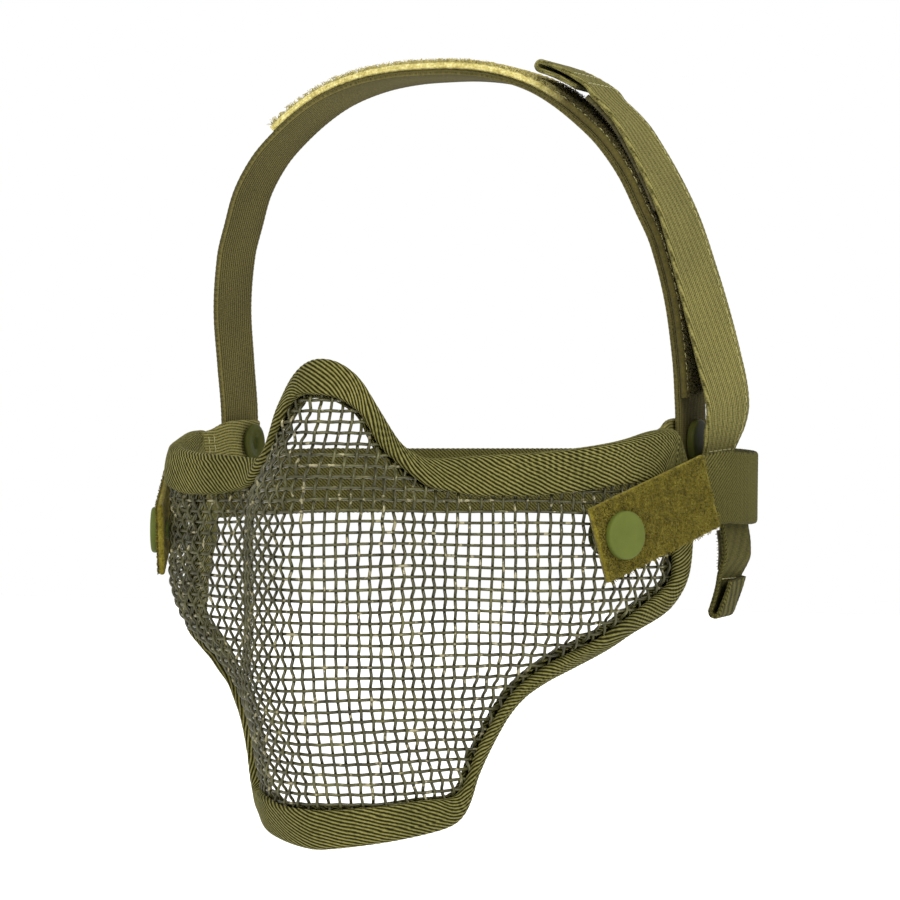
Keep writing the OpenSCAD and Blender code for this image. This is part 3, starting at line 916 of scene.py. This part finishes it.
def fuzz(name, roots, normals, tall, radius, lean, seed, curl):
    """Many short bent fibres, each a thin three-sided tube rooted on a surface."""
    rng = np.random.default_rng(seed)
    count = len(roots)
    side = unit(np.cross(normals, rng.normal(size=(count, 3))))
    other = np.cross(normals, side)
    tall = tall * rng.uniform(0.6, 1.15, count)[:, None]
    swing = lean * rng.uniform(0.3, 1.0, count)[:, None] * tall
    bend = curl * rng.uniform(-0.5, 0.5, count)[:, None] * tall
    path = np.stack([
        roots - normals * 0.1,
        roots + normals * tall * 0.5 + side * swing * 0.25 + other * bend * 0.3,
        roots + normals * tall * 0.92 + side * swing * 0.7 + other * bend,
        roots + normals * tall * 0.8 + side * swing * 1.15 + other * bend * 1.4,
    ], 1)
    other = np.broadcast_to(other[:, None], path.shape)
    ring = tube_points(path, other, np.full((count, 4), radius), 3)
    return add_mesh(name, ring, tube_faces(count, 4, 3))


THREAD_R = 0.16
STITCH = 2.0
STITCH_GAP = 0.7
STITCH_RISE = 0.2
STITCH_RINGS, STITCH_SIDES = 7, 6


def stitch_row(points, normals):
    """Threads laid along a line on a surface, each dipping into the cloth at its ends."""
    length = lengths(points)
    starts = np.arange(0, length[-1] - STITCH, STITCH + STITCH_GAP)
    part = np.linspace(0, 1, STITCH_RINGS)
    at = starts[:, None] + part * STITCH
    path = np.stack([np.interp(at, length, points[:, k]) for k in range(3)], -1)
    up = unit(np.stack([np.interp(at, length, normals[:, k]) for k in range(3)], -1))
    path = path + up * (STITCH_RISE * (np.sin(np.pi * part) ** 0.6 * 1.2 - 0.7))[:, None]
    return tube_points(path, up, np.full(at.shape, THREAD_R), STITCH_SIDES)


def add_stitches(name, body, *rings):
    """One piece of thread from rows of stitches."""
    rings = np.concatenate(rings)
    faces = tube_faces(len(rings), STITCH_RINGS, STITCH_SIDES)
    finish_piece(add_mesh(name, rings, faces), THREAD, body, "webbing")


def cross_rows(ribbon, places, reach, *sides):
    """Stitched lines across a ribbon's faces."""
    x = np.linspace(-reach, reach, 60)
    return [ribbon_row(ribbon, s, x, side) for s in places for side in sides]


def ribbon_row(ribbon, s, x, side):
    """A stitched line on a ribbon's face."""
    s, x = np.broadcast_arrays(np.asarray(s, float), np.asarray(x, float))
    up = ribbon.frame(s)[3] * side
    return stitch_row(ribbon.point(s, x, side), up)


def folded(line, way, fold, stop, gap):
    """A strap's line carried on round an open fold at its end and back beneath itself."""
    plain = Ribbon(line, 0, stop, STRAP_W, STRAP_T, way)
    out = np.arange(0, stop - gap, 2.5)
    back = np.arange(stop - gap - 2, fold, -2.5)
    turn = np.linspace(np.pi / 2, -np.pi / 2, 7)
    rise = np.clip((out - fold + 5) / 5, 0, 1)
    at = np.concatenate([out, np.full(len(turn), stop - gap), back])
    middle, ahead, _, up = plain.frame(at)
    lift = np.concatenate([rise**2 * (3 - 2 * rise), np.sin(turn), np.full(len(back), -1)])
    push = np.concatenate([0 * out, np.cos(turn), 0 * back])
    points = middle + gap * (up * lift[:, None] + ahead * push[:, None])
    return [(s, *p) for s, p in zip(lengths(points), points)]


# Where the pile lies along the crown strap, how far pile and patches sink into their strap,
# how thick the free ends are at the hem, and how far half of the hem stands off its middle.
PILE_SPAN = (-48, 126)
PILE_TUFTS = 15000
SUNK = 0.05
HEM_CLOTH_T = 1.3
HEM_GAP = 1.15
LEVEL_BACK = fixed_way(0, 1, 0)


def add_crown():
    """The crown strap over the head, with its pile."""
    line = both_sides(CROWN_LINE)
    strap = Ribbon(line, -148, 148, STRAP_W, STRAP_T, LEVEL_BACK)
    cloth = strap.cloth("crown_strap_cloth", 0.5, 34, (1.1, 0.0), 0.05, 0.15)
    finish_piece(cloth, ELASTIC, "crown_harness", "elastic", "crown_strap")

    lift = SUNK - (STRAP_T + PILE_T) / 2
    pile = Ribbon(line, *PILE_SPAN, STRAP_W - 1, PILE_T, LEVEL_BACK, lift)
    backing = pile.cloth("crown_pile_backing", 0.6, 30, (1.3, 0.4), 0.12, 0.1)
    finish_piece(backing, PILE, "crown_harness", "pile", "crown_pile")
    rng = np.random.default_rng(21)
    s = rng.uniform(PILE_SPAN[0] + 0.5, PILE_SPAN[1] - 0.5, PILE_TUFTS)
    x = rng.uniform(-0.98, 0.98, PILE_TUFTS)
    normals = -pile.frame(s)[3]
    tufts = fuzz("crown_pile_fuzz", pile.point(s, x, -1), normals, 1.0, 0.075, 1.0, 22, 1.8)
    finish_piece(tufts, PILE, "crown_harness", "pile")

    s = np.linspace(PILE_SPAN[0] + 1, PILE_SPAN[1] - 1, 350)
    edges = [ribbon_row(pile, s, x, -1) for x in (-0.9, 0.9)]
    add_stitches("crown_pile_stitches", "crown_harness", *edges)


def add_crown_tail():
    """The crown strap's free end over the pile, with its open hem, hook patch and stitching."""
    width = [(0, 15), (6, 16), (14, STRAP_W), (160, STRAP_W)]
    thick = [(0, STRAP_T), (110, STRAP_T), (114, HEM_CLOTH_T), (160, HEM_CLOTH_T)]
    line = folded(CROWN_TAIL_LINE, CROWN_TAIL_WAY, 114, 129, HEM_GAP)
    tail = Ribbon(line, 0, line[-1][0], width, thick, CROWN_TAIL_WAY)
    cloth = tail.cloth("crown_tail_cloth", 0.42, 60, (1.2, 0.12), 0.05, 0.15)
    finish_piece(cloth, WEBBING, "crown_free_end", "webbing", "crown_tail")

    lift = SUNK - (STRAP_T + HOOK_T) / 2
    patch = Ribbon(CROWN_TAIL_LINE, 76, 112, STRAP_W - 2, HOOK_T, CROWN_TAIL_WAY, lift)
    hook = add_hooks("crown", patch, 26, (77, 111), -1, 31)

    long_way = np.linspace(4, 126.1, 300)
    rows = [ribbon_row(tail, long_way, 0.78, 1), ribbon_row(tail, long_way, 0.72, -1)]
    rows += cross_rows(tail, (9, 114, 119), 0.85, 1)
    add_stitches("crown_tail_stitches", "crown_free_end", *rows)


HOOK_PITCH = 0.9


def add_hooks(strap, patch, across, span, side, seed):
    """A hook patch and the small stiff hooks on its face."""
    tape = patch.cloth(f"{strap}_hook_tape", 0.6, across, (1.2, 0.0), 0.12, 0.1)
    finish_piece(tape, HOOK, f"{strap}_free_end", "hook", f"{strap}_hook")
    rng = np.random.default_rng(seed)
    s, x = np.meshgrid(np.arange(*span, HOOK_PITCH), np.linspace(-0.92, 0.92, 18), indexing="ij")
    s, x = s.ravel() + rng.normal(0, 0.08, s.size), x.ravel()
    roots, normals = patch.point(s, x, side), patch.frame(s)[3] * side
    barbs = fuzz(f"{strap}_hook_barbs", roots, normals, 0.5, 0.1, 0.5, seed + 1, 0.3)
    finish_piece(barbs, HOOK, f"{strap}_free_end", "hook")
    return tape


# From the middle of the formed panel to the middle of the tab held off it by the snap.
TAB_LIFT = PANEL_HALF + TAB_GAP + STRAP_T / 2
TAB_TUFTS = 7400


def cheek_frame():
    """The left cheek snap's place and two of its axes: back along the tab, and out."""
    normal = section_normal(CHEEK_PLACE, CHEEK_LEVEL)
    out = unit(np.array([normal[0], normal[1], 0.0]))
    level_back = np.array([-out[1], out[0], 0.0])
    back = level_back * math.cos(TAB_SLOPE) + np.array([0, 0, math.sin(TAB_SLOPE)])
    return on_section(CHEEK_PLACE, CHEEK_LEVEL) + TAB_LIFT * out, back, out


def add_cheek_tab(side, sign):
    """A pile-faced tab held to the cheek by its snap."""
    centre, back, out = (v * [sign, 1, 1] for v in cheek_frame())
    line = [(s, *(centre + s * back)) for s in (-9, 0, 20, 37)]
    way = fixed_way(*np.cross(out, back))
    tab = Ribbon(line, -TAB_FRONT, TAB_REAR, STRAP_W, STRAP_T, way)
    facing = float(np.sign((tab.frame(np.array([0.0]))[3][0] * out).sum()))
    cloth = tab.cloth(f"cheek_tab_{side}_cloth", 0.5, 38, (1.4, 0.5), 0.08, 0.08)
    finish_piece(cloth, LOOP, "neck_harness", "loop", f"cheek_tab_{side}")
    rng = np.random.default_rng(41 if sign > 0 else 51)
    s = rng.uniform(-TAB_FRONT + 0.2, TAB_REAR - 0.2, TAB_TUFTS)
    x = rng.uniform(-0.985, 0.985, TAB_TUFTS)
    keep = np.hypot(s, x * STRAP_W / 2) > CAP_R - 0.6
    s, x = s[keep], x[keep]
    normals = np.broadcast_to(out, (len(s), 3))
    roots = tab.point(s, x, facing)
    pile = fuzz(f"cheek_tab_{side}_pile", roots, normals, 0.62, 0.085, 1.1, 42 + int(sign), 1.6)
    finish_piece(pile, LOOP, "neck_harness", "loop")

    rows = cross_rows(tab, (TAB_REAR - 2.2, TAB_REAR - 9.5), 0.86, -facing)
    add_stitches(f"cheek_tab_{side}_stitches", "neck_harness", *rows)


def add_neck():
    """The strap round the nape from tab to tab."""
    strap = Ribbon(both_sides(NECK_LINE), -139.5, 139.5, STRAP_W - 1, STRAP_T, NECK_WAY)
    cloth = strap.cloth("neck_strap_cloth", 0.45, 36, (1.0, 0.9), 0.12, 0.15)
    finish_piece(cloth, BINDING, "neck_harness", "webbing", "neck_strap")


def add_neck_tail():
    """The neck strap's free end, with its open hem, hook patch and stitching."""
    thick = [(0, STRAP_T), (16, STRAP_T), (20, HEM_CLOTH_T), (60, HEM_CLOTH_T)]
    line = folded(NECK_TAIL_LINE, NECK_TAIL_WAY, 20, 31.2, HEM_GAP)
    tail = Ribbon(line, 0, line[-1][0], STRAP_W - 1, thick, NECK_TAIL_WAY)
    cloth = tail.cloth("neck_tail_cloth", 0.42, 44, (1.2, 0.9), 0.08, 0.15)
    finish_piece(cloth, BINDING, "neck_free_end", "webbing", "neck_tail")
    lift = (STRAP_T + HOOK_T) / 2 - SUNK
    patch = Ribbon(NECK_TAIL_LINE, 7, 18, STRAP_W - 3, HOOK_T, NECK_TAIL_WAY, lift)
    hook = add_hooks("neck", patch, 24, (8, 17.5), 1, 61)
    rows = cross_rows(tail, (5, 21), 0.85, 1, -1)
    add_stitches("neck_tail_stitches", "neck_free_end", *rows)


def add_ear_tab(side, sign):
    """The webbing tab inside the ear corner that carries the ear snap."""
    line = [(s, sign * x, y, z) for s, x, y, z in EAR_TAB_LINE]
    tab = Ribbon(line, 0, 29, 13, STRAP_T, fixed_way(0, 0, 1))
    cloth = tab.cloth(f"ear_tab_{side}_cloth", 0.45, 26, (1.0, 0.5), 0.08, 0.12)
    finish_piece(cloth, WEBBING, "mask", "webbing", f"ear_tab_{side}")
    rows = cross_rows(tab, (2, 5), 0.8, 1, -1)
    add_stitches(f"ear_tab_{side}_stitches", "mask", *rows)


# ---- press snaps ----


def lathe(name, profile, centre, axis, sides=72):
    """A turned piece from (radius, height) rows along an axis, closed at both ends."""
    profile = np.array(profile, float)
    axis = unit(np.asarray(axis, float))
    side = unit(np.cross(axis, [0.3, 0.2, 1.0]))
    other = np.cross(axis, side)
    turn = 2 * np.pi * np.arange(sides) / sides
    ring = np.cos(turn)[:, None] * side + np.sin(turn)[:, None] * other
    points = centre + profile[:, 0, None, None] * ring + profile[:, 1, None, None] * axis
    points = points.reshape(-1, 3)
    count = len(profile)
    ends = np.stack([centre + profile[0, 1] * axis, centre + profile[-1, 1] * axis])
    quads = grid_faces(count, sides, wrap_columns=True)[:, ::-1]
    i = np.arange(sides)
    j = (i + 1) % sides
    first = np.stack([np.full(sides, len(points)), j, i], -1)
    far = (count - 1) * sides
    last = np.stack([np.full(sides, len(points) + 1), far + i, far + j], -1)
    return add_mesh(name, np.concatenate([points, ends]), [quads, first, last])


DOME = 0.25
CAP_FILLET = 0.75


def cap_profile(low, seat, top):
    """A post, a flange that sits on the cloth and a gently domed head."""
    flat = CAP_R - CAP_FILLET
    low_head = top - DOME - CAP_FILLET
    head = [
        (flat + CAP_FILLET * math.cos(b), low_head + CAP_FILLET * math.sin(b))
        for b in np.linspace(0, np.pi / 2, 8)
    ]
    dome = [(r, top - DOME * (r / flat) ** 2) for r in np.linspace(flat - 0.2, 0.3, 14)]
    return [
        (POST_R - 0.2, low), (POST_R, low + 0.2), (POST_R, seat), (CAP_R - 0.5, seat),
        (CAP_R - 0.1, seat + 0.12), (CAP_R, seat + 0.3), *head, *dome,
    ]


def stud_profile(low, high):
    """The socket half: a stepped ring with a hollow in its middle."""
    mid = low + (high - low) * 0.45
    return [
        (0.9, low + 0.9), (1.7, low + 0.8), (1.9, low), (STUD_R - 0.5, low),
        (STUD_R - 0.1, low + 0.15), (STUD_R, low + 0.4), (STUD_R, mid),
        (STUD_R - 0.25, mid + 0.15), (STUD_R - 0.9, mid + 0.2),
        (STUD_R - 1.2, high - 0.15), (STUD_R - 1.4, high), (1.0, high),
    ]


def add_snaps(side, sign):
    """The caps and studs at one cheek and one ear."""
    centre, _, out = (v * [sign, 1, 1] for v in cheek_frame())
    seat = STRAP_T / 2 + 0.35
    top = STRAP_T / 2 + TAB_GAP + 1.8
    profile = cap_profile(PANEL_HALF - TAB_LIFT, seat, top)
    cap = lathe(f"cheek_snap_{side}_cap", profile, centre, out)
    finish_piece(cap, CAP_OLIVE, "mask", "cap_olive", f"cheek_snap_{side}")
    low = -TAB_LIFT - PANEL_HALF - 2.8
    stud = lathe(f"cheek_stud_{side}_ring", stud_profile(low, low + STUD_H), centre, out)
    finish_piece(stud, CAP_DARK, "mask", "cap_dark", f"cheek_stud_{side}")
    centre = np.array(EAR_SNAP) * [sign, 1, 1]
    out = np.array([sign, 0.0, 0.0])
    depth = EAR_SNAP[0] - EAR_TAB_X - STRAP_T / 2
    cap = lathe(f"ear_snap_{side}_cap", cap_profile(-depth, seat, top), centre, out)
    finish_piece(cap, CAP_DARK, "mask", "cap_dark", f"ear_snap_{side}")
    low = EAR_TAB_X - EAR_SNAP[0] - STRAP_T / 2 - 2.1
    stud = lathe(f"ear_stud_{side}_ring", stud_profile(low, low + STUD_H), centre, out)
    finish_piece(stud, CAP_DARK, "mask", "cap_dark", f"ear_stud_{side}")


# ---- floor and light ----


def add_floor():
    """A wide pale floor, bright enough to read as white paper."""
    size, level = 4000, -250
    corners = [(x * size, y * size, level) for x, y in ((-1, -1), (1, -1), (1, 1), (-1, 1))]
    floor = add_mesh("floor", corners, np.array([[0, 1, 2, 3]]))
    paint = Shader(
        "pale_floor", Roughness=0.9, Base_Color=(0.8, 0.8, 0.8, 1),
        Emission_Color=(1, 1, 1, 1), Emission_Strength=0.6,
    )
    floor.data.materials.append(paint.material)


def add_light(name, where, size, power):
    """A round soft light in metres that faces the object."""
    data = bpy.data.lights.new(name, "AREA")
    data.shape = "DISK"
    data.size = size
    data.energy = power
    lamp = bpy.data.objects.new(name, data)
    lamp.location = where
    lamp.rotation_euler = (-Vector(where)).to_track_quat("-Z", "Y").to_euler()
    bpy.context.scene.collection.objects.link(lamp)


def add_lights():
    """A white surround, a key light from the front and a smaller one from the side."""
    world = bpy.data.worlds.new("studio")
    bpy.context.scene.world = world
    world.use_nodes = True
    sky = world.node_tree.nodes["Background"]
    sky.inputs["Color"].default_value = (1, 1, 1, 1)
    sky.inputs["Strength"].default_value = 1.0
    add_light("key", (0.2, -1.1, 1.0), 0.6, 14)
    add_light("side", (1.3, -0.5, 0.5), 0.5, 7)
    bpy.context.scene.view_settings.view_transform = "Standard"
    bpy.context.scene.view_settings.look = "None"


add_panel()
add_tape()
add_crown()
add_crown_tail()
add_neck()
add_neck_tail()
for side, sign in (("left", 1.0), ("right", -1.0)):
    add_cheek_tab(side, sign)
    add_ear_tab(side, sign)
    add_snaps(side, sign)
add_floor()
add_lights()
